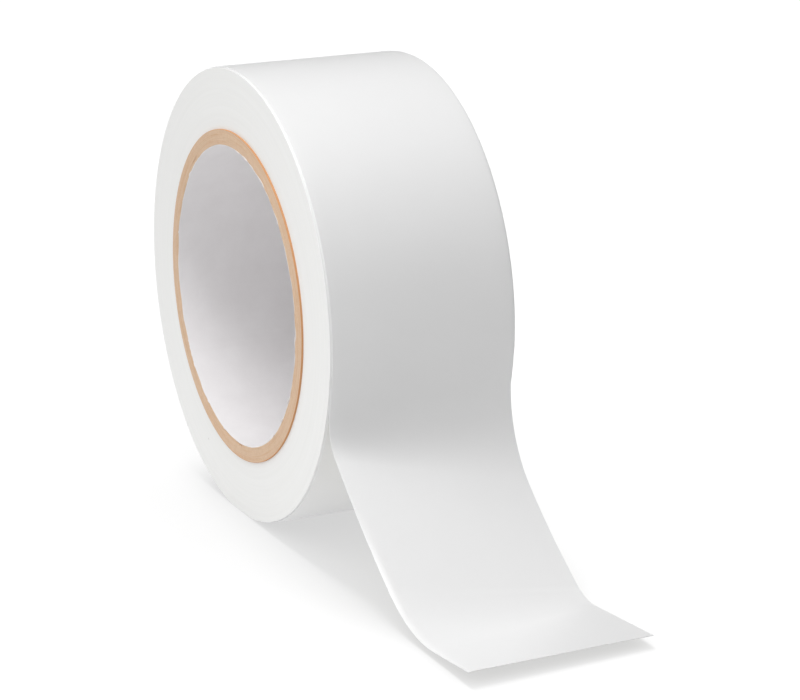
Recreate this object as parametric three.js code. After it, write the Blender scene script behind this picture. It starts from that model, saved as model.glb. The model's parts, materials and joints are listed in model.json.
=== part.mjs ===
// A roll of white vinyl tape standing on its edge, with its free end laid out in front.
// Millimetres, +Z up. The roll's axis runs along Y, and the tail leaves the roll towards +X.
// The origin is on the surface that the roll stands on, under the middle of its axis.
import * as THREE from 'three';

// Paper core: a white liner inside, then kraft plies glued one over another.
const coreBore = 76.2;
const coreWall = 4;
const linerThickness = 0.15;
const plyCount = 8;
const glueGap = 0.05;
const coreProud = 0.5;

// Tape: the strip itself, and how far its turns wander to each side in the roll.
const tapeWidth = 47.75;
const tapeThickness = 0.148;
const tapeLength = 33000;
const turnWander = 0.6;

// The roll's weight presses its lowest turns flat to this depth.
const restFlat = 0.5;

// Tail: where the free strip begins, in degrees below the roll's axis, how far its lying end tips up,
// and the shorter edge of that end.
const peelStart = 7;
const endTip = 5.3;
const lyingLength = 16.8;

// Each edge of the tail: where it leaves the roll (degrees below the axis), the radius it curls off
// with, its slope at the top and at the foot of the span, the radius it lands with, and its least
// height above the surface there.
const frontEdge = {
  peelDrop: 15.6,
  peelRadius: 10.4,
  slopeTop: 42.3,
  slopeFoot: 34.2,
  landRadius: 35,
  landHeight: 1.6,
};
const backEdge = {
  peelDrop: 10.1,
  peelRadius: 28.9,
  slopeTop: 41,
  slopeFoot: 31,
  landRadius: 12.5,
  landHeight: 0,
};

// Clearance between stretches of tape that move apart, and between the two ends of the last turn.
const tapeGap = 0.3;
const turnEndGap = 1.2;

// Facets: round pieces have one level facet at the bottom.
const roundSteps = 72;
const heldSteps = 2;
const curlSteps = 10;
const spanSteps = 8;
const landSteps = 4;

// Sizes that follow.
const { degToRad } = THREE.MathUtils;
const coreRadius = coreBore / 2 + coreWall;
const packWidth = tapeWidth + 2 * turnWander;
const coreLength = packWidth + 2 * coreProud;
const plyPitch = (coreWall - linerThickness) / plyCount;
const rollRadius = Math.sqrt(coreRadius ** 2 + (tapeLength * tapeThickness) / Math.PI);
const packRadius = rollRadius - 2 * tapeThickness - glueGap;
const facetAngle = (2 * Math.PI) / roundSteps;

// The last turn draws in by its own thickness, part of which it has done at the bottom of the roll.
const turnBegin = degToRad(-peelStart);
const turnRadius = (angle) => rollRadius - (tapeThickness * (angle - turnBegin)) / (2 * Math.PI);
const axisHeight = turnRadius(1.5 * Math.PI) - restFlat;

const vinylWhite = { color: 0xf1f1ef, roughness: 0.38, metalness: 0 };
const kraftBrown = { color: 0xd0b48f, roughness: 0.9, metalness: 0 };
const linerWhite = { color: 0xe9e6e3, roughness: 0.85, metalness: 0 };

const model = new THREE.Group();
const roll = new THREE.Group();
roll.position.z = axisHeight;
model.add(roll);

function addPiece(parent, name, geometry, look) {
  const mesh = new THREE.Mesh(geometry, new THREE.MeshStandardMaterial(look));
  mesh.name = name;
  parent.add(mesh);
}

// A tube round the roll's axis.
function tube(innerRadius, outerRadius, length) {
  const corners = [
    new THREE.Vector2(innerRadius, -length / 2),
    new THREE.Vector2(outerRadius, -length / 2),
    new THREE.Vector2(outerRadius, length / 2),
    new THREE.Vector2(innerRadius, length / 2),
    new THREE.Vector2(innerRadius, -length / 2),
  ];
  return new THREE.LatheGeometry(corners, roundSteps, facetAngle / 2);
}

// An outline in the roll's X and Z, drawn out along Y about the middle of the roll.
function acrossRoll(shape, width) {
  const geometry = new THREE.ExtrudeGeometry(shape, { depth: width, bevelEnabled: false });
  geometry.rotateX(Math.PI / 2);
  geometry.translate(0, width / 2, 0);
  return geometry;
}

// A point round the roll, no lower than the flat that it is pressed to.
function turnPoint(radius, angle, lowest) {
  return new THREE.Vector2(radius * Math.cos(angle), Math.max(radius * Math.sin(angle), lowest));
}

function addCore() {
  const bore = coreBore / 2;
  addPiece(roll, 'core_liner', tube(bore, bore + linerThickness, coreLength), linerWhite);
  for (let ply = 1; ply <= plyCount; ply += 1) {
    const outer = bore + linerThickness + ply * plyPitch;
    const inner = outer - plyPitch + glueGap;
    addPiece(roll, `core_ply_${ply}`, tube(inner, outer, coreLength), kraftBrown);
  }
}

// The inner turns are one plain body, from the core out to the last turn.
function addWoundTape() {
  const lowest = 2 * tapeThickness + glueGap - axisHeight;
  const outline = [];
  const bore = [];
  for (let facet = 0; facet < roundSteps; facet += 1) {
    const angle = (facet + 0.5) * facetAngle;
    outline.push(turnPoint(packRadius, angle, lowest));
    bore.push(turnPoint(coreRadius + glueGap, angle, lowest));
  }
  const shape = new THREE.Shape(outline);
  shape.holes.push(new THREE.Path(bore));
  addPiece(roll, 'wound_tape', acrossRoll(shape, packWidth), vinylWhite);
}

// The last turn winds once round the roll: up from where the tail begins, over the top and back
// underneath.
function addLastTurn() {
  const turnFinish = turnBegin + 2 * Math.PI - turnEndGap / rollRadius;
  const angles = [turnBegin];
  for (let facet = Math.ceil(turnBegin / facetAngle); angles.at(-1) < turnFinish; facet += 1) {
    angles.push(Math.min((facet + 0.5) * facetAngle, turnFinish));
  }
  const outer = angles.map((angle) => turnPoint(turnRadius(angle), angle, -axisHeight));
  const inner = angles.map((angle) => {
    return turnPoint(turnRadius(angle) - tapeThickness, angle, tapeThickness - axisHeight);
  });
  const shape = new THREE.Shape([...outer, ...inner.toReversed()]);
  addPiece(roll, 'last_turn', acrossRoll(shape, tapeWidth), vinylWhite);
  reportGap(angles, outer, inner);
}

// Least distance between points of the last turn that lie over half a turn apart along it.
function reportGap(angles, outer, inner) {
  let least = Infinity;
  angles.forEach((angle, index) => {
    angles.forEach((other, later) => {
      if (other - angle > Math.PI) {
        least = Math.min(least, inner[index].distanceTo(outer[later]));
      }
    });
  });
  console.log(`last_turn: least gap to itself ${least.toFixed(2)} mm`);
}

// A stretch of the tail's underside that bends between two headings, in degrees from +X. A radius
// below zero bends it down instead of up.
function arcRun(begin, from, to, radius) {
  const headingAt = (share) => degToRad(from + share * (to - from));
  const first = headingAt(0);
  const at = (share) => {
    const heading = headingAt(share);
    const x = begin.x + radius * (Math.sin(heading) - Math.sin(first));
    const z = begin.z + radius * (Math.cos(first) - Math.cos(heading));
    return { x, z, heading };
  };
  return { at, length: radius * degToRad(to - from) };
}

// One edge of the tail: it is held on the roll, curls off it, spans down and lands on the surface.
function tailEdge(edge) {
  const heldRadius = rollRadius + tapeGap;
  const begin = {
    x: heldRadius * Math.cos(turnBegin),
    z: axisHeight + heldRadius * Math.sin(turnBegin),
  };
  const leave = -90 - edge.peelDrop;
  const held = arcRun(begin, -90 - peelStart, leave, -heldRadius);
  const curl = arcRun(held.at(1), leave, -edge.slopeTop, edge.peelRadius);
  const spanTop = curl.at(1);
  const footCosine = Math.cos(degToRad(edge.slopeFoot));
  const footHeight = edge.landHeight + edge.landRadius * (1 - footCosine);
  const spanRadius = (spanTop.z - footHeight) / (footCosine - Math.cos(degToRad(edge.slopeTop)));
  const span = arcRun(spanTop, -edge.slopeTop, -edge.slopeFoot, spanRadius);
  const landing = arcRun(span.at(1), -edge.slopeFoot, endTip, edge.landRadius);
  const length = held.length + curl.length + span.length + landing.length;
  return { held, curl, span, landing, length };
}

// Points along a run, from one distance along it to another.
function pointsAlong(run, from, to, steps) {
  const shares = Array.from({ length: steps + 1 }, (_, step) => from + ((to - from) * step) / steps);
  return shares.map((distance) => run.at(distance / run.length));
}

// A strip of tape between its front and back edges, which have as many points as each other.
function stripBetween([front, back]) {
  const corners = [];
  const faces = [];
  const addCorner = (point, y, rise) => {
    corners.push(point.x - rise * Math.sin(point.heading), y, point.z + rise * Math.cos(point.heading));
  };
  const addQuad = (a, b, c, d) => faces.push(a, b, c, a, c, d);
  front.forEach((point, index) => {
    addCorner(point, -tapeWidth / 2, 0);
    addCorner(back[index], tapeWidth / 2, 0);
    addCorner(back[index], tapeWidth / 2, tapeThickness);
    addCorner(point, -tapeWidth / 2, tapeThickness);
  });
  for (let here = 0; here < 4 * (front.length - 1); here += 4) {
    for (let side = 0; side < 4; side += 1) {
      const after = (side + 1) % 4;
      addQuad(here + side, here + after, here + 4 + after, here + 4 + side);
    }
  }
  const last = 4 * (front.length - 1);
  addQuad(0, 3, 2, 1);
  addQuad(last, last + 1, last + 2, last + 3);
  const geometry = new THREE.BufferGeometry();
  geometry.setAttribute('position', new THREE.Float32BufferAttribute(corners, 3));
  geometry.setIndex(faces);
  geometry.computeVertexNormals();
  return geometry;
}

// The tail is three stretches of the strip that bend against each other: the curl at the roll, the
// span, and the end that lies on the surface and tips up a little, cut square to the strip's length.
function addTail() {
  const half = tapeGap / 2;
  const edges = [tailEdge(frontEdge), tailEdge(backEdge)];
  const longest = Math.max(...edges.map((edge) => edge.length));
  const curls = edges.map(({ held, curl }) => [
    ...pointsAlong(held, 0, held.length, heldSteps),
    ...pointsAlong(curl, 0, curl.length - half, curlSteps).slice(1),
  ]);
  const spans = edges.map(({ span, landing }) => [
    ...pointsAlong(span, half, span.length, spanSteps),
    ...pointsAlong(landing, 0, landing.length / 2 - half, landSteps).slice(1),
  ]);
  const ends = edges.map(({ landing, length }) => {
    const bend = pointsAlong(landing, landing.length / 2 + half, landing.length, landSteps);
    const { x, z, heading } = bend.at(-1);
    const lying = longest - length + lyingLength;
    const cut = { x: x + lying * Math.cos(heading), z: z + lying * Math.sin(heading), heading };
    return [...bend, cut];
  });
  addPiece(model, 'peel_curl', stripBetween(curls), vinylWhite);
  addPiece(model, 'tail_span', stripBetween(spans), vinylWhite);
  addPiece(model, 'tail_end', stripBetween(ends), vinylWhite);
}

addCore();
addWoundTape();
addLastTurn();
addTail();

export default model;
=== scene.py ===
import json
import math

import bmesh
import bpy
from mathutils import Matrix, Vector, noise

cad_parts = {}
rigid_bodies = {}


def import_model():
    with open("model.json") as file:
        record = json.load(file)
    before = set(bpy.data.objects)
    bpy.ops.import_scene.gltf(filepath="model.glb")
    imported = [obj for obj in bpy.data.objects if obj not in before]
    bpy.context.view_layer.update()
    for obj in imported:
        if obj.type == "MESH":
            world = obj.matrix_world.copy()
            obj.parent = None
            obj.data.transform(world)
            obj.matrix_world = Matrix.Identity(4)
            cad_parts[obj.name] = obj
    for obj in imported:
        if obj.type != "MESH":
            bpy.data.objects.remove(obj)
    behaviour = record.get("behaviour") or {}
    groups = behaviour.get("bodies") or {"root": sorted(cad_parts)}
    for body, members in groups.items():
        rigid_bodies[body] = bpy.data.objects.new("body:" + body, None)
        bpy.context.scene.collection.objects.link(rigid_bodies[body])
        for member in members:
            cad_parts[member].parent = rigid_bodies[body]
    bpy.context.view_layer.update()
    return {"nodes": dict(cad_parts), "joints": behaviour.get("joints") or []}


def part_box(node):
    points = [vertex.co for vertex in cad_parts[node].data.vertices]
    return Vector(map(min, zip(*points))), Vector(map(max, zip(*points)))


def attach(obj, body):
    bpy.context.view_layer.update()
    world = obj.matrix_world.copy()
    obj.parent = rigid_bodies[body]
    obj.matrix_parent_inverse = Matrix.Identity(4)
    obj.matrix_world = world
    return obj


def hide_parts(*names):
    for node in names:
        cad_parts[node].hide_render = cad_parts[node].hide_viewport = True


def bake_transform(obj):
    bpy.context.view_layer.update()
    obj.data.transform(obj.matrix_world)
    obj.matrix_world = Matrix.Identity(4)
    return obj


# A roll of white vinyl tape on a paper core, standing on its edge with its free end laid out in front.
# Sizes are in millimetres and turned to metres where a mesh is made. The roll's axis runs along Y.
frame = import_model()
mm = 0.001
joints = {joint["name"]: joint for joint in frame["joints"]}
axisHeight = joints["unwind"]["pos_m"][2] / mm
plyNames = sorted(name for name in frame["nodes"] if name.startswith("core_ply_"))
print("frame loaded,", len(frame["nodes"]), "nodes, axis at", round(axisHeight, 3), "mm")


# distance of a node's nearest and furthest point from the roll's axis
def rollRange(node):
    corners = [v.co / mm for v in frame["nodes"][node].data.vertices]
    spokes = [math.hypot(c.x, c.z - axisHeight) for c in corners]
    return min(spokes), max(spokes)


def halfWidth(node):
    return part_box(node)[1].y / mm


def linearColour(hexText):
    channels = [int(hexText[i:i + 2], 16) / 255 for i in (1, 3, 5)]
    linear = [c / 12.92 if c <= 0.04045 else ((c + 0.055) / 1.055) ** 2.4 for c in channels]
    return (*linear, 1.0)


# adds a node, sets what is plain and links what comes from another node
def addNode(tree, kind, settings, inputs):
    node = tree.nodes.new(kind)
    for name, value in settings.items():
        setattr(node, name, value)
    for socket, value in inputs.items():
        if isinstance(value, bpy.types.NodeSocket):
            tree.links.new(value, node.inputs[socket])
        else:
            node.inputs[socket].default_value = value
    return node


# an empty material, with the place on the surface in the object's own metres
def newMaterial(name):
    material = bpy.data.materials.new(name)
    material.use_nodes = True
    tree = material.node_tree
    tree.nodes.clear()
    place = addNode(tree, "ShaderNodeTexCoord", {}, {}).outputs["Object"]
    return material, tree, place


# distance from the roll's axis
def addSpoke(tree, place):
    centred = addNode(tree, "ShaderNodeMapping", {}, {
        "Vector": place, "Location": (0, 0, -axisHeight * mm), "Scale": (1, 0, 1)})
    return addNode(tree, "ShaderNodeVectorMath", {"operation": "LENGTH"}, {
        0: centred.outputs["Vector"]}).outputs["Value"]


# tone that follows the turns: it changes every few tenths of a millimetre outwards, and slowly round
def addRings(tree, place, across, along):
    stretched = addNode(tree, "ShaderNodeMath", {"operation": "MULTIPLY"}, {
        0: addSpoke(tree, place), 1: along / across})
    return addNode(tree, "ShaderNodeTexNoise", {"noise_dimensions": "4D"}, {
        "Vector": place, "W": stretched.outputs["Value"], "Scale": 1 / (along * mm), "Detail": 3.0,
        "Roughness": 0.65}).outputs["Fac"]


# scatters specks of dust over a colour
def addSpecks(tree, place, finish, tone):
    dust = addNode(tree, "ShaderNodeTexVoronoi", {}, {
        "Vector": place, "Scale": 1 / (finish["speckSpacing"] * mm), "Randomness": 1.0})
    reach = finish["speckSize"] / finish["speckSpacing"]
    speck = addNode(tree, "ShaderNodeMapRange", {"interpolation_type": "SMOOTHSTEP"}, {
        "Value": dust.outputs["Distance"], "From Min": reach, "From Max": 2 * reach,
        "To Min": finish["speckShare"], "To Max": 0.0})
    return addNode(tree, "ShaderNodeMix", {"data_type": "RGBA"}, {
        0: speck.outputs["Result"], 6: tone, 7: linearColour(finish["speck"])}).outputs[2]


# White plasticised PVC film, calendered between rollers: very even and satin, with a faint haze where
# the rollers pressed harder, a fine grain, and here and there a speck of dust.
filmFinish = {
    "white": "#F1F1F1",
    "haze": "#ECECEC",
    "hazeSize": 26,
    "speck": "#B9B8B5",
    "speckSpacing": 17,
    "speckSize": 0.16,
    "speckShare": 0.55,
    "grainSize": 0.9,   # real grain is about 0.2 mm, drawn coarser so that it shows
    "grainDepth": 0.004,
    "roughness": (0.36, 0.44),
    "ior": 1.53,
}


def makeFilm():
    f = filmFinish
    material, tree, place = newMaterial("white plasticised PVC film")
    haze = addNode(tree, "ShaderNodeTexNoise", {}, {
        "Vector": place, "Scale": 1 / (f["hazeSize"] * mm), "Detail": 3.0, "Roughness": 0.55})
    tone = addNode(tree, "ShaderNodeMix", {"data_type": "RGBA"}, {
        0: haze.outputs["Fac"], 6: linearColour(f["white"]), 7: linearColour(f["haze"])})
    gloss = addNode(tree, "ShaderNodeMapRange", {}, {
        "Value": haze.outputs["Fac"], "To Min": f["roughness"][0], "To Max": f["roughness"][1]})
    grain = addNode(tree, "ShaderNodeTexNoise", {}, {
        "Vector": place, "Scale": 1 / (f["grainSize"] * mm), "Detail": 2.0})
    relief = addNode(tree, "ShaderNodeBump", {}, {
        "Height": grain.outputs["Fac"], "Strength": 0.5, "Distance": f["grainDepth"] * mm})
    shader = addNode(tree, "ShaderNodeBsdfPrincipled", {}, {
        "Base Color": addSpecks(tree, place, f, tone.outputs[2]), "Roughness": gloss.outputs["Result"],
        "IOR": f["ior"], "Normal": relief.outputs["Normal"]})
    addNode(tree, "ShaderNodeOutputMaterial", {}, {"Surface": shader.outputs["BSDF"]})
    return material


# The same film seen on its slit edges: the knife leaves them duller. Faint bands of painted shade follow
# the turns, in place of turns that stand a hair prouder than the next.
slitFinish = {
    "white": "#EDEDEC",
    # painted shade: the colour of the darker bands along the turns
    "shadeRing": "#E5E5E3",
    "ringSize": 0.9,    # bands of several turns, because one 0.15 mm turn is too fine to show
    "ringLength": 60,
    "speck": "#B4B3AE",
    "speckSpacing": 15,
    "speckSize": 0.16,
    "speckShare": 0.6,
    "roughness": 0.52,
    "ior": 1.5,
}


def makeSlitEdges():
    f = slitFinish
    material, tree, place = newMaterial("slit edges of PVC film")
    # painted shade: darker bands that follow the turns, standing in for turns a hair prouder than the next
    shadeRings = addRings(tree, place, f["ringSize"], f["ringLength"])
    tone = addNode(tree, "ShaderNodeMix", {"data_type": "RGBA"}, {
        0: shadeRings, 6: linearColour(f["white"]), 7: linearColour(f["shadeRing"])})
    shader = addNode(tree, "ShaderNodeBsdfPrincipled", {}, {
        "Base Color": addSpecks(tree, place, f, tone.outputs[2]), "Roughness": f["roughness"],
        "IOR": f["ior"]})
    addNode(tree, "ShaderNodeOutputMaterial", {}, {"Surface": shader.outputs["BSDF"]})
    return material


# Rubber and resin adhesive, coated on the film's underside: clear, so the white shows through a shade
# creamier, shinier than the film and slightly uneven from the coating knife.
glueFinish = {
    "cream": "#E9E7DD",
    "thick": "#E0DDD0",
    "streakSize": 5,
    "roughness": (0.16, 0.3),
    "ior": 1.5,
}


def makeGlue():
    f = glueFinish
    material, tree, place = newMaterial("clear rubber adhesive coat")
    coat = addNode(tree, "ShaderNodeTexNoise", {}, {
        "Vector": place, "Scale": 1 / (f["streakSize"] * mm), "Detail": 4.0})
    colour = addNode(tree, "ShaderNodeMix", {"data_type": "RGBA"}, {
        0: coat.outputs["Fac"], 6: linearColour(f["cream"]), 7: linearColour(f["thick"])})
    gloss = addNode(tree, "ShaderNodeMapRange", {}, {
        "Value": coat.outputs["Fac"], "To Min": f["roughness"][0], "To Max": f["roughness"][1]})
    shader = addNode(tree, "ShaderNodeBsdfPrincipled", {}, {
        "Base Color": colour.outputs[2], "Roughness": gloss.outputs["Result"], "IOR": f["ior"]})
    addNode(tree, "ShaderNodeOutputMaterial", {}, {"Surface": shader.outputs["BSDF"]})
    return material


# Kraft core board, wound from unbleached paper and sawn to length: matt tan, mottled by its fibres, with
# streaks along the plies, paler hairs and dark specks, and a darker orange in a thin band at its outside.
# Each range is the part of the pattern's tone where a mark comes in, up to its share of the colour.
kraftFinish = {
    "light": "#DAC0A6",
    "dark": "#CCAD91",
    "fibreSize": 1.1,   # fibres are 0.03 mm thick and lie in flocks of about this size
    "streak": "#C89E78",
    "streakSize": 0.5,
    "streakLength": 14,
    "streakRange": (0.45, 0.7),
    "streakShare": 0.6,
    "hair": "#EBDCC8",
    "hairSize": 0.35,
    "hairDepth": 0.04,
    "hairRange": (0.58, 0.75),
    "hairShare": 0.5,
    "speck": "#A98762",
    "speckRange": (0.36, 0.24),
    "speckShare": 0.6,
    # the colour of a darker orange band at the core's outside
    "edgeBand": "#C58D5F",
    "edgeBandDepth": 0.22,
    "edgeBandShare": 0.9,
    "roughness": 0.9,
    "ior": 1.47,
}


def makeKraft():
    f = kraftFinish
    material, tree, place = newMaterial("unbleached kraft board")
    flock = addNode(tree, "ShaderNodeTexNoise", {}, {
        "Vector": place, "Scale": 1 / (f["fibreSize"] * mm), "Detail": 4.0, "Roughness": 0.6})
    hairs = addNode(tree, "ShaderNodeTexNoise", {}, {
        "Vector": place, "Scale": 1 / (f["hairSize"] * mm), "Detail": 3.0, "Roughness": 0.7})
    streaks = addRings(tree, place, f["streakSize"], f["streakLength"])
    colour = addNode(tree, "ShaderNodeMix", {"data_type": "RGBA"}, {
        0: flock.outputs["Fac"], 6: linearColour(f["light"]), 7: linearColour(f["dark"])})
    fibres = hairs.outputs["Fac"]
    for mark, pattern in (("streak", streaks), ("hair", fibres), ("speck", fibres)):
        begin, full = f[mark + "Range"]
        share = addNode(tree, "ShaderNodeMapRange", {}, {
            "Value": pattern, "From Min": begin, "From Max": full, "To Max": f[mark + "Share"]})
        colour = addNode(tree, "ShaderNodeMix", {"data_type": "RGBA"}, {
            0: share.outputs["Result"], 6: colour.outputs[2], 7: linearColour(f[mark])})
    # a darker orange in a thin band at the outside of the outer ply, over its ends and its outer wall
    outside = rollRange(plyNames[-1])[1]
    edgeBandMask = addNode(tree, "ShaderNodeMapRange", {"interpolation_type": "SMOOTHSTEP"}, {
        "Value": addSpoke(tree, place), "From Min": (outside - f["edgeBandDepth"]) * mm,
        "From Max": outside * mm, "To Max": f["edgeBandShare"]})
    edgeBanded = addNode(tree, "ShaderNodeMix", {"data_type": "RGBA"}, {
        0: edgeBandMask.outputs["Result"], 6: colour.outputs[2], 7: linearColour(f["edgeBand"])})
    relief = addNode(tree, "ShaderNodeBump", {}, {
        "Height": fibres, "Strength": 0.6, "Distance": f["hairDepth"] * mm})
    shader = addNode(tree, "ShaderNodeBsdfPrincipled", {}, {
        "Base Color": edgeBanded.outputs[2], "Roughness": f["roughness"], "IOR": f["ior"],
        "Normal": relief.outputs["Normal"]})
    addNode(tree, "ShaderNodeOutputMaterial", {}, {"Surface": shader.outputs["BSDF"]})
    return material


# White lining paper, machine made and glued inside the core: matt, a little cooler than the film, and
# cloudy where the fibres lie thicker.
liningFinish = {
    "paper": "#E8E6E7",
    "cloud": "#DDDADB",
    "cloudSize": 7,
    "fibreSize": 0.7,
    "fibreDepth": 0.02,
    "roughness": 0.85,
    "ior": 1.47,
}


def makeLining():
    f = liningFinish
    material, tree, place = newMaterial("white lining paper")
    cloud = addNode(tree, "ShaderNodeTexNoise", {}, {
        "Vector": place, "Scale": 1 / (f["cloudSize"] * mm), "Detail": 5.0, "Roughness": 0.6})
    fibre = addNode(tree, "ShaderNodeTexNoise", {}, {
        "Vector": place, "Scale": 1 / (f["fibreSize"] * mm), "Detail": 3.0})
    colour = addNode(tree, "ShaderNodeMix", {"data_type": "RGBA"}, {
        0: cloud.outputs["Fac"], 6: linearColour(f["paper"]), 7: linearColour(f["cloud"])})
    relief = addNode(tree, "ShaderNodeBump", {}, {
        "Height": fibre.outputs["Fac"], "Strength": 0.4, "Distance": f["fibreDepth"] * mm})
    shader = addNode(tree, "ShaderNodeBsdfPrincipled", {}, {
        "Base Color": colour.outputs[2], "Roughness": f["roughness"], "IOR": f["ior"],
        "Normal": relief.outputs["Normal"]})
    addNode(tree, "ShaderNodeOutputMaterial", {}, {"Surface": shader.outputs["BSDF"]})
    return material


film = makeFilm()
slitEdges = makeSlitEdges()
glue = makeGlue()
kraft = makeKraft()
lining = makeLining()
print("materials made:", len(bpy.data.materials))

# points of a mesh that are nearer than this are one
mergeGap = 0.0002


# turns a bmesh in millimetres into a piece of the object
def addPiece(name, bm, materials, sharpAngle=40):
    bmesh.ops.remove_doubles(bm, verts=bm.verts, dist=mergeGap)
    bmesh.ops.recalc_face_normals(bm, faces=bm.faces)
    bmesh.ops.scale(bm, vec=(mm, mm, mm), verts=bm.verts)
    mesh = bpy.data.meshes.new(name)
    for face in bm.faces:
        face.smooth = True
    bm.to_mesh(mesh)
    bm.free()
    mesh.set_sharp_from_angle(angle=math.radians(sharpAngle))
    for material in materials:
        mesh.materials.append(material)
    piece = bpy.data.objects.new(name, mesh)
    bpy.context.scene.collection.objects.link(piece)
    return piece


# a flat patch between two radii, as wide as the roll's section there, at angle zero of the roll
def sectionPatch(inner, outer, half, columns=1):
    bm = bmesh.new()
    place = Matrix.Translation(((inner + outer) / 2, 0, axisHeight))
    size = Matrix.Diagonal((outer - inner, 2 * half, 1, 1))
    bmesh.ops.create_grid(bm, x_segments=1, y_segments=columns, size=0.5, matrix=place @ size)
    return bm


def roundCorners(bm, corners, radius, segments):
    bmesh.ops.bevel(bm, geom=corners, offset=radius, offset_type="OFFSET", affect="VERTICES",
                    segments=segments, profile=0.5, material=-1)


# spins a section's outline once round the roll's axis
def spinRound(bm, steps):
    bmesh.ops.delete(bm, geom=bm.faces[:], context="FACES_ONLY")
    bmesh.ops.spin(bm, geom=bm.verts[:] + bm.edges[:], cent=(0, 0, axisHeight), axis=(0, -1, 0),
                   angle=2 * math.pi, steps=steps, use_merge=True)


def rollAngle(co):
    return math.atan2(co.z - axisHeight, co.x)


# a smooth random value between -1 and 1 that belongs to a place, a seed and a size
def waver(co, seed, size):
    return noise.noise(Vector((co.x, seed, co.z)) / size)


# The core's lining: a paper sleeve with slightly ragged ends and a few stray flecks of paper.
liner = {
    "steps": 480,
    "round": 0.03,
    "roundSegments": 2,
    "ragged": 0.16,
    "raggedSize": 5,
    "fleck": 0.9,
    "fleckSize": 1.6,
    "fleckFloor": 0.25,
    "endSeed": 60,
}


def buildLiner():
    inner, outer = rollRange("core_liner")
    bm = sectionPatch(inner, outer, halfWidth("core_liner"))
    roundCorners(bm, bm.verts[:], liner["round"], liner["roundSegments"])
    spinRound(bm, liner["steps"])
    for vert in bm.verts:
        end = math.copysign(1, vert.co.y)
        seed = liner["endSeed"] * end
        wave = waver(vert.co, seed, liner["raggedSize"])
        fleck = max(0, waver(vert.co, seed, liner["fleckSize"]) - liner["fleckFloor"])
        vert.co.y -= end * (liner["ragged"] * (0.5 + wave) - liner["fleck"] * fleck)
    piece = addPiece("core_lining", bm, [lining])
    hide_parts("core_liner")
    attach(piece, "roll")


# The core's board: plies of kraft paper, each sawn off a touch higher or lower than the next.
plies = {
    "steps": 360,
    "round": 0.04,
    "roundSegments": 2,
    "uneven": 0.03,
    "unevenSize": 9,
    "sawn": 0.012,
    "sawnSize": 0.8,
    "chips": (0.5, 0.22),   # depth of the chips in the innermost plies
    "chipSize": 3.4,
    "endSeed": 40,          # the seeds keep the two ends and the plies apart
    "plySeed": 7,
}


def buildPlies():
    chips = [*plies["chips"], *[0] * len(plyNames)]
    inner = rollRange("core_liner")[1]
    for number, node in enumerate(plyNames):
        outer = rollRange(node)[1]
        bm = sectionPatch(inner, outer, halfWidth(node))
        inner = outer
        roundCorners(bm, bm.verts[:], plies["round"], plies["roundSegments"])
        spinRound(bm, plies["steps"])
        for vert in bm.verts:
            end = math.copysign(1, vert.co.y)
            seed = plies["endSeed"] * end + plies["plySeed"] * number
            wave = plies["uneven"] * waver(vert.co, seed, plies["unevenSize"])
            sawn = plies["sawn"] * waver(vert.co, seed, plies["sawnSize"])
            chip = max(0, waver(vert.co, seed, plies["chipSize"])) * chips[number]
            vert.co.y -= end * (plies["uneven"] + wave + sawn + chip)
        piece = addPiece(node + "_board", bm, [kraft])
        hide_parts(node)
        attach(piece, "roll")
    print("core made:", len(plyNames), "plies and a lining")


# The strip of tape: where its free end begins, in degrees round the roll, how the outer turns droop
# towards their edges, and the slack between turns.
tape = {
    "thickness": 0.148,
    "width": 2 * halfWidth("last_turn"),
    "start": -7,
    "droopReach": 2.6,
    "droop": 0.12,
    "slack": 0.01,
    "lead": 1e-4,           # radians, so that the first point of the last turn counts as its start
}
rollRadius = rollRange("last_turn")[1]
packHalf = halfWidth("wound_tape")
turnStart = math.radians(tape["start"]) - tape["lead"]


def droop(y):
    reach = max(0, abs(y) - (packHalf - tape["droopReach"])) / tape["droopReach"]
    return tape["droop"] * reach ** 2


# how far round the last turn a point is, from 0 where the tail begins to 1
def turnShare(co):
    return ((rollAngle(co) - turnStart) % (2 * math.pi)) / (2 * math.pi)


# moves a point out or in from the roll's axis, and keeps it above the flat that the roll stands on
def setSpoke(co, radius, depth):
    angle = rollAngle(co)
    co.x = radius * math.cos(angle)
    co.z = max(axisHeight + radius * math.sin(angle), depth)


# The wound tape: about a hundred turns, whose slit edges make up the roll's side faces. The edges wander
# from turn to turn, over a dozen turns, and once or twice round.
pack = {
    "steps": 256,
    "rimRound": 0.16,
    "rimSegments": 5,
    "edge": {"depth": 0.016, "pace": 0.83, "seed": 11},
    "band": {"depth": 0.03, "pace": 0.11, "seed": 23},
    "sway": {"depth": 0.05, "size": 40, "seed": 31},
    "sideFacing": 0.9,      # faces that look this much to the side are slit edges
    "sharpAngle": 50,
}


# how far a turn's edge lies inside the roll's width
def edgeWander(co, turn, end):
    depth = 0
    for name in ("edge", "band"):
        wander = pack[name]
        depth += wander["depth"] * noise.noise(Vector((turn * wander["pace"], wander["seed"] * end, 0)))
    sway = pack["sway"]
    swing = noise.noise(Vector((co.x / sway["size"], sway["seed"] * end, co.z / sway["size"])))
    return depth + sway["depth"] * (0.5 + swing)


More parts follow.
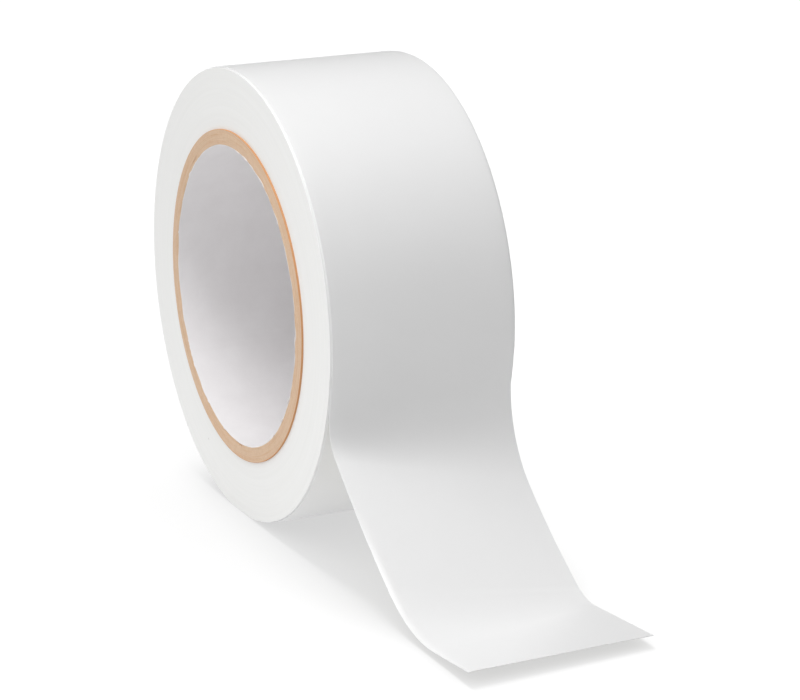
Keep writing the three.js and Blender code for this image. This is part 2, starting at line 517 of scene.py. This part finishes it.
def buildPack():
    inner = rollRange(plyNames[-1])[1]
    outer = rollRadius - tape["thickness"] - tape["slack"]
    bm = sectionPatch(inner, outer, packHalf)
    rims = [v for v in bm.verts if v.co.x > (inner + outer) / 2]
    roundCorners(bm, rims, pack["rimRound"], pack["rimSegments"])
    bmesh.ops.delete(bm, geom=bm.faces[:], context="FACES_ONLY")
    turns = round((outer - pack["rimRound"] - inner) / tape["thickness"])
    sides = [e for e in bm.edges if abs(e.verts[0].co.y - e.verts[1].co.y) < mergeGap]
    bmesh.ops.subdivide_edges(bm, edges=sides, cuts=turns - 1)
    spinRound(bm, pack["steps"])
    for vert in bm.verts:
        co = vert.co
        spoke = math.hypot(co.x, co.z - axisHeight)
        end = math.copysign(1, co.y)
        turn = (outer - spoke) / tape["thickness"] + turnShare(co)
        if abs(co.y) > packHalf - tape["slack"]:
            co.y -= end * edgeWander(co, turn, end)
        spiral = tape["thickness"] * turnShare(co) if spoke > inner + tape["slack"] else 0
        setSpoke(co, spoke - spiral - droop(co.y), rollRadius - spoke + tape["slack"])
    piece = addPiece("wound_turns", bm, [slitEdges, film], pack["sharpAngle"])
    for face in piece.data.polygons:
        face.material_index = 0 if abs(face.normal.y) > pack["sideFacing"] else 1
    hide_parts("wound_tape")
    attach(piece, "roll")
    print("wound turns made:", turns, "edges a side,", len(piece.data.polygons), "faces")


# The last turn: one strip once round the roll, over its own end.
lastTurn = {"steps": 252, "columns": 48, "endGap": 0.6, "wander": 0.06, "wanderSize": 45}


def buildLastTurn():
    bm = sectionPatch(rollRadius - tape["thickness"], rollRadius, tape["width"] / 2, lastTurn["columns"])
    turned = Matrix.Rotation(math.radians(tape["start"]), 3, (0, -1, 0))
    bmesh.ops.rotate(bm, cent=(0, 0, axisHeight), matrix=turned, verts=bm.verts)
    arc = 2 * math.pi - lastTurn["endGap"] / rollRadius
    bmesh.ops.spin(bm, geom=bm.verts[:] + bm.edges[:] + bm.faces[:], cent=(0, 0, axisHeight),
                   axis=(0, -1, 0), angle=arc, steps=lastTurn["steps"])
    for vert in bm.verts:
        co = vert.co
        depth = rollRadius - math.hypot(co.x, co.z - axisHeight)
        co.y += lastTurn["wander"] * waver(co, 0, lastTurn["wanderSize"])
        setSpoke(co, rollRadius - depth - tape["thickness"] * turnShare(co) - droop(co.y), depth)
    piece = addPiece("last_turn_film", bm, [film])
    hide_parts("last_turn")
    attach(piece, "roll")
    print("last turn made")


# The tail: the strip leaves the roll in a curl that is tight at the front edge and loose at the back,
# spans down to the surface and lies there to its cut end, which tips up a little. Slopes are in degrees.
tail = {
    "feather": 7.5,         # the film is thinned to nothing over these degrees, flush with the roll
    "seat": 0.006,          # gap to the roll where it is still held
    "lying": 16.8,          # shorter edge of the lying end
    "tip": 5.3,
    "front": {
        "peelDrop": 15.6, "peelRadius": 10.4, "slopeTop": 42.3, "slopeFoot": 34.2, "landRadius": 35,
        "landHeight": 1.6},
    "back": {
        "peelDrop": 10.1, "peelRadius": 28.9, "slopeTop": 41, "slopeFoot": 31, "landRadius": 12.5,
        "landHeight": 0},
    "columns": 44,
    "rows": {"held": 14, "curl": 26, "span": 28, "landing": 18, "lying": 12},
    "edgeRoll": 0.34,       # the front edge turns down by this much
    "edgeRollWidth": 2.0,
    "edgeRollRise": 0.6,    # share of it by which the film rises where nothing is under it
    "ripple": 0.09,
    "rippleSize": 21,
    # share of each feature at the start and at the finish of each run of the strip
    "along": {
        "edgeRoll": {
            "held": (0, 0), "curl": (0, 0.12), "span": (0.12, 1), "landing": (1, 0.9), "lying": (0.9, 0.25)},
        "ripple": {
            "held": (0, 0), "curl": (0, 0.6), "span": (0.6, 1), "landing": (1, 0.6), "lying": (0.6, 0.5)},
        "thickness": {
            "held": (0.02, 1), "curl": (1, 1), "span": (1, 1), "landing": (1, 1), "lying": (1, 1)},
    },
    # reach to each side of a joint's line, and how steeply the film falls there
    "bends": {"tail_lift": {"reach": 5, "fall": 0.7}, "end_fold": {"reach": 5, "fall": 0.25}},
    "upward": (0.35, 0, 1),  # faces that look away from this have the glue
    "glueFacing": -0.2,
    "edgeFacing": 0.7,       # and those that look this much to the side are slit edges
    "sharpAngle": 35,
}


# a stretch of one edge that bends between two slopes, and its length
def bendRun(begin, fromSlope, toSlope, radius):
    first, last = math.radians(fromSlope), math.radians(toSlope)

    def at(share):
        slope = first + share * (last - first)
        x = begin[0] + radius * (math.sin(slope) - math.sin(first))
        z = begin[1] + radius * (math.cos(first) - math.cos(slope))
        return x, z, slope

    return at, radius * (last - first)


def tailEdge(edge):
    start = tape["start"] + tail["feather"]
    turn = math.radians(start)
    heldRadius = rollRadius + tail["seat"]
    begin = (heldRadius * math.cos(turn), axisHeight + heldRadius * math.sin(turn))
    leave = -90 - edge["peelDrop"]
    held, heldLength = bendRun(begin, start - 90, leave, -heldRadius)
    curl, curlLength = bendRun(held(1), leave, -edge["slopeTop"], edge["peelRadius"])
    top = curl(1)
    footCos = math.cos(math.radians(edge["slopeFoot"]))
    footHeight = edge["landHeight"] + edge["landRadius"] * (1 - footCos)
    spanRadius = (top[1] - footHeight) / (footCos - math.cos(math.radians(edge["slopeTop"])))
    span, spanLength = bendRun(top, -edge["slopeTop"], -edge["slopeFoot"], spanRadius)
    landing, landLength = bendRun(span(1), -edge["slopeFoot"], tail["tip"], edge["landRadius"])
    return {
        "runs": {"held": held, "curl": curl, "span": span, "landing": landing},
        "lengths": {"held": heldLength, "curl": curlLength, "span": spanLength, "landing": landLength},
        "length": heldLength + curlLength + spanLength + landLength,
        "landed": landing(1),
    }


frontEdge = tailEdge(tail["front"])
backEdge = tailEdge(tail["back"])
longest = max(frontEdge["length"], backEdge["length"])


# a point of one edge, with its slope
def edgePoint(edge, run, share):
    if run != "lying":
        return edge["runs"][run](share)
    x, z, slope = edge["landed"]
    reach = share * (longest - edge["length"] + tail["lying"])
    return x + reach * math.cos(slope), z + reach * math.sin(slope), slope


# how much of its full size a feature has at a place along the strip
def alongStrip(feature, run, share):
    start, finish = tail["along"][feature][run]
    return start + (finish - start) * share * share * (3 - 2 * share)


# the film's underside at a share across from the front edge, and the way up from it
def filmPoint(run, share, across):
    front = edgePoint(frontEdge, run, share)
    back = edgePoint(backEdge, run, share)
    x, z, slope = (f + across * (b - f) for f, b in zip(front, back))
    y = (across - 0.5) * tape["width"]
    up = Vector((-math.sin(slope), 0, math.cos(slope)))
    edgeShare = max(0, 1 - across * tape["width"] / tail["edgeRollWidth"])
    turnedDown = tail["edgeRoll"] * alongStrip("edgeRoll", run, share)
    rise = turnedDown * (1 if run in ("landing", "lying") else tail["edgeRollRise"])
    rise -= turnedDown * edgeShare ** 2
    ripple = noise.noise(Vector((x, y, z)) / tail["rippleSize"])
    rise += tail["ripple"] * alongStrip("ripple", run, share) * (0.5 + ripple)
    point = Vector((x, y, z)) + up * rise
    if run == "held":
        point -= up * droop(y)
    elif run == "curl":
        point -= up * droop(y) * (1 - share) ** 2
    return point, up


# a stretch of film as a grid, finer towards its edges, which is pulled out to the film's thickness
def buildFilm(name, stations):
    bm = bmesh.new()
    rows = len(stations) - 1
    bmesh.ops.create_grid(bm, x_segments=rows, y_segments=tail["columns"], size=0.5)
    ups = {}
    for vert in bm.verts:
        run, share = stations[round((vert.co.x + 0.5) * rows)]
        across = 0.5 - 0.5 * math.cos(math.pi * (vert.co.y + 0.5))
        vert.co, up = filmPoint(run, share, across)
        ups[tuple(vert.co)] = up * tape["thickness"] * alongStrip("thickness", run, share)
    grown = bmesh.ops.extrude_face_region(bm, geom=bm.faces[:], use_keep_orig=True)
    for item in grown["geom"]:
        if isinstance(item, bmesh.types.BMVert):
            item.co += ups[tuple(item.co)]
    piece = addPiece(name, bm, [film, glue], tail["sharpAngle"])
    for face in piece.data.polygons:
        below = face.normal.dot(Vector(tail["upward"])) < tail["glueFacing"]
        face.material_index = 1 if below and abs(face.normal.y) < tail["edgeFacing"] else 0
    return piece


def stationsOf(run, first=0, last=1):
    steps = round(tail["rows"][run] * (last - first))
    return [(run, first + (last - first) * step / steps) for step in range(steps + 1)]


# bakes a stretch of film's placement into its mesh
def bendAcross(piece):
    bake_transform(piece)


def buildTail():
    upperStations = stationsOf("held") + stationsOf("curl")[1:] + stationsOf("span", 0, 0.5)[1:]
    lowerStations = stationsOf("span", 0.5, 1) + stationsOf("landing")[1:] + stationsOf("lying")[1:]
    upper = buildFilm("tail_curl_film", upperStations)
    lower = buildFilm("tail_laid_film", lowerStations)
    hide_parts("peel_curl")
    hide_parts("tail_span", "tail_end")
    bendAcross(upper)
    bendAcross(lower)


buildLiner()
buildPlies()
buildPack()
buildLastTurn()
buildTail()


# The surface under the roll: a white paper sweep over a light table, which glows most near the roll.
# The camera and mirrored rays see it evenly white, and the shadow under the roll as a pale grey.
sweep = {
    "name": "paper_sweep",
    "size": 6000,           # each way from the roll
    "matt": "#616161",      # low, so that little of the glow comes back to it from the roll
    "glow": (0.61, 0.12),   # near the roll and far from it
    "fade": (80, 300),      # distances between which the one turns into the other
    "seen": 0.58,           # the strip and the dome bring it up to white
}


def makeSweep():
    material, tree, place = newMaterial("white paper sweep")
    away = addNode(tree, "ShaderNodeVectorMath", {"operation": "LENGTH"}, {0: place})
    near, far = (distance * mm for distance in sweep["fade"])
    glowing = addNode(tree, "ShaderNodeMapRange", {"interpolation_type": "SMOOTHSTEP"}, {
        "Value": away.outputs["Value"], "From Min": near, "From Max": far,
        "To Min": sweep["glow"][0], "To Max": sweep["glow"][1]})
    ray = addNode(tree, "ShaderNodeLightPath", {}, {})
    seen = ray.outputs["Is Camera Ray"]
    for kind in ("Is Glossy Ray", "Is Transmission Ray"):
        seen = addNode(tree, "ShaderNodeMath", {"operation": "MAXIMUM"}, {
            0: seen, 1: ray.outputs[kind]}).outputs["Value"]
    strength = addNode(tree, "ShaderNodeMix", {}, {
        0: seen, 2: glowing.outputs["Result"], 3: sweep["seen"]})
    matt = addNode(tree, "ShaderNodeBsdfDiffuse", {}, {"Color": linearColour(sweep["matt"])})
    glow = addNode(tree, "ShaderNodeEmission", {}, {"Strength": strength.outputs[0]})
    both = addNode(tree, "ShaderNodeAddShader", {}, {0: matt.outputs["BSDF"], 1: glow.outputs["Emission"]})
    addNode(tree, "ShaderNodeOutputMaterial", {}, {"Surface": both.outputs["Shader"]})
    return material


def buildSweep():
    bm = bmesh.new()
    bmesh.ops.create_grid(bm, x_segments=4, y_segments=4, size=sweep["size"] * mm)
    mesh = bpy.data.meshes.new(sweep["name"])
    bm.to_mesh(mesh)
    bm.free()
    mesh.materials.append(makeSweep())
    piece = bpy.data.objects.new(sweep["name"], mesh)
    bpy.context.scene.collection.objects.link(piece)


# Soft boxes, which light only the roll: where each one stands, in degrees round the roll and above the
# surface. Far ones are suns with a spread in degrees, near ones are squares with a size and a distance in
# millimetres.
softBoxes = {
    "front box": {"azimuth": 0, "elevation": 45, "spread": 50, "strength": 1.3},
    "top box": {"azimuth": 60, "elevation": 80, "spread": 30, "strength": 1.17},
    "back box": {"azimuth": 180, "elevation": 2, "spread": 10, "strength": 1.2},
    "near right box": {"azimuth": 40, "elevation": 25, "size": 250, "away": 400, "strength": 0.38},
    "near top box": {"azimuth": 0, "elevation": 75, "size": 250, "away": 400, "strength": 0.48},
}

# What lights only the sweep: a strip light in line with the roll and behind it, as a row of suns, whose
# shadow is sharper beside the roll and fades along the tail, and a dome that softens it under the tail.
shadowStrip = {"azimuth": 270, "elevations": (40, 48, 56, 64, 72), "spread": 14, "strength": 1.1}
shadowDome = {"azimuth": 0, "elevation": 90, "spread": 150, "strength": 8.8}


# the way that something stands or looks, from its degrees round the roll and above the surface
def facing(place):
    turn = Matrix.Rotation(math.radians(place["azimuth"]), 4, "Z")
    tilt = Matrix.Rotation(math.radians(90 - place["elevation"]), 4, "X")
    return turn @ tilt


def addLamp(name, box, lit):
    light = bpy.data.lights.new(name, "SUN" if "spread" in box else "AREA")
    light.energy = box["strength"]
    if "spread" in box:
        light.angle = math.radians(box["spread"])
    else:
        light.size = box["size"] * mm
    lamp = bpy.data.objects.new(name, light)
    middle = Matrix.Translation((0, 0, axisHeight * mm))
    away = Matrix.Translation((0, 0, box.get("away", 0) * mm))
    lamp.matrix_world = middle @ facing(box) @ away
    lamp.light_linking.receiver_collection = lit
    bpy.context.scene.collection.objects.link(lamp)


def buildLights():
    rollOnly = bpy.data.collections.new("lit by the boxes")
    sweepOnly = bpy.data.collections.new("lit by the strip and dome")
    for piece in bpy.context.scene.objects:
        if piece.type == "MESH":
            lit = sweepOnly if piece.name == sweep["name"] else rollOnly
            lit.objects.link(piece)
    for name, box in softBoxes.items():
        addLamp(name, box, rollOnly)
    for elevation in shadowStrip["elevations"]:
        addLamp(f"strip {elevation}", {**shadowStrip, "elevation": elevation}, sweepOnly)
    addLamp("dome", shadowDome, sweepOnly)


# The room is nearly dark, so that the tread's far edge has little to reflect.
room = {"colour": "#FFFFFF", "strength": 0.02}


def buildWorld():
    world = bpy.data.worlds.new("dark room")
    world.use_nodes = True
    tree = world.node_tree
    tree.nodes.clear()
    walls = addNode(tree, "ShaderNodeBackground", {}, {
        "Color": linearColour(room["colour"]), "Strength": room["strength"]})
    addNode(tree, "ShaderNodeOutputWorld", {}, {"Surface": walls.outputs["Background"]})
    bpy.context.scene.world = world


# The photograph's view: a long lens a little above the roll, turned towards its front edge.
view = {
    "place": (639.08, -284.49, 244.61),
    "azimuth": 64.44,
    "elevation": 16.33,
    "roll": -0.287,
    "lens": 127.94,
    "sensor": 36,
}


def buildCamera():
    data = bpy.data.cameras.new("photo view")
    data.sensor_fit = "HORIZONTAL"
    data.sensor_width = view["sensor"]
    data.lens = view["lens"]
    camera = bpy.data.objects.new("photo view", data)
    lean = Matrix.Rotation(math.radians(view["roll"]), 4, "Z")
    camera.matrix_world = Matrix.Translation(Vector(view["place"]) * mm) @ facing(view) @ lean
    bpy.context.scene.collection.objects.link(camera)
    bpy.context.scene.camera = camera


buildSweep()
buildLights()
buildWorld()
buildCamera()
bpy.context.scene.view_settings.view_transform = "Standard"
print("surface, lights and camera made")
